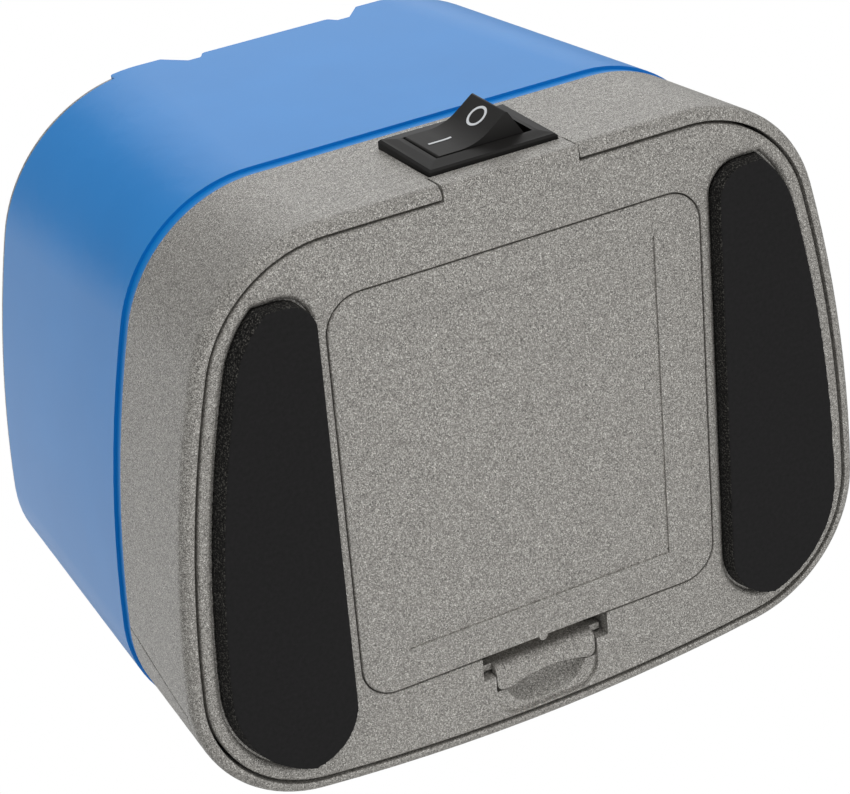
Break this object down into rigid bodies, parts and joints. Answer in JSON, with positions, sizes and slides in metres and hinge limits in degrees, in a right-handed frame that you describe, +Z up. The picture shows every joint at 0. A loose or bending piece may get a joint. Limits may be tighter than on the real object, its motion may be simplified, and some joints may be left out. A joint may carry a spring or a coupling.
{
  "type": "electric knife sharpener",
  "caption": "Battery-driven countertop knife sharpener: tapered housing with knife slots in its top, rocker switch, battery door with finger latch, foam feet, and motor-driven wheels inside.",
  "frame": {"origin": "middle of the footprint, on the surface that the foot pads stand on", "axes": "+Z up, +Y towards the wall with the rocker switch, +X to the right of someone at the opposite end"},
  "size_m": [0.1162, 0.0963, 0.0952],
  "materials": {
    "blue_plastic": "satin",
    "silver_plastic": "fine sparkle",
    "black_plastic": "satin",
    "foam": "matte",
    "cell_jacket": "plain wrap",
    "brass": "satin",
    "spring_steel": "satin",
    "bare_steel": "turned",
    "motor_iron": "matte",
    "magnet": "matte",
    "gear_plastic": "natural",
    "frame_plastic": "matte",
    "abrasive": "grainy",
    "lead_red": "gloss",
    "lead_black": "gloss"
  },
  "bodies": {
    "housing": {"base_plate": "silver_plastic", "base_screws": "bare_steel", "battery_cell_1": "cell_jacket", "battery_cell_2": "cell_jacket", "battery_cell_3": "cell_jacket", "battery_cell_4": "cell_jacket", "contact_plates_front": "spring_steel", "contact_plates_rear": "spring_steel", "contact_springs": "spring_steel", "cover_screws": "bare_steel", "drive_frame": "frame_plastic", "foot_pad_left": "foam", "foot_pad_right": "foam", "frame_screws": "bare_steel", "front_fascia": "silver_plastic", "guide_spring_left": "spring_steel", "guide_spring_right": "spring_steel", "idler_clip": "spring_steel", "idler_pin": "bare_steel", "lead_battery": "lead_red", "lead_motor": "lead_black", "lead_switch": "lead_black", "lower_collar": "silver_plastic", "motor_can": "bare_steel", "motor_end_cap": "frame_plastic", "motor_magnets": "magnet", "motor_screws": "bare_steel", "motor_terminals": "brass", "shaft_bush_left": "brass", "shaft_bush_right": "brass", "swarf_tray": "frame_plastic", "switch_body": "black_plastic", "switch_terminals": "brass", "top_cover": "silver_plastic", "upper_housing": "blue_plastic"},
    "rocker": {"switch_rocker": "black_plastic"},
    "door": {"battery_cover": "silver_plastic"},
    "latch": {"battery_latch": "silver_plastic"},
    "rotor": {"motor_core": "motor_iron", "motor_shaft": "bare_steel", "drive_pinion": "gear_plastic"},
    "idler": {"idler_gear": "gear_plastic"},
    "wheels": {"wheel_shaft": "bare_steel", "wheel_hub": "gear_plastic", "drive_gear": "gear_plastic", "grinding_wheel_left": "abrasive", "grinding_wheel_right": "abrasive", "shaft_clips": "spring_steel"}
  },
  "joints": [
    {"name": "rocker_tilt", "type": "hinge", "parent": "housing", "child": "rocker", "pos_m": [0, 0.0412, 0.0142], "axis": [0, 0, 1], "range_deg": [0, 36]},
    {"name": "door_hinge", "type": "hinge", "parent": "housing", "child": "door", "pos_m": [0, 0.032, 0.0022], "axis": [1, 0, 0], "range_deg": [0, 35]},
    {"name": "latch_flex", "type": "hinge", "parent": "door", "child": "latch", "pos_m": [0, -0.0344, 0.0058], "axis": [1, 0, 0], "range_deg": [0, 8], "stiffness_Nm_per_rad": 0.15},
    {"name": "wheel_spin", "type": "hinge", "parent": "housing", "child": "wheels", "pos_m": [0, -0.0016, 0.0622], "axis": [1, 0, 0], "continuous": true},
    {"name": "idler_spin", "type": "hinge", "parent": "housing", "child": "idler", "pos_m": [-0.0213, 0.02004, 0.0564], "axis": [1, 0, 0], "continuous": true},
    {"name": "motor_spin", "type": "hinge", "parent": "housing", "child": "rotor", "pos_m": [0, 0.02438, 0.04017], "axis": [1, 0, 0], "continuous": true}
  ],
  "couplings": [
    {"joint": "idler_spin", "follows": "wheel_spin", "ratio": -0.77778},
    {"joint": "motor_spin", "follows": "wheel_spin", "ratio": 2.3333}
  ]
}
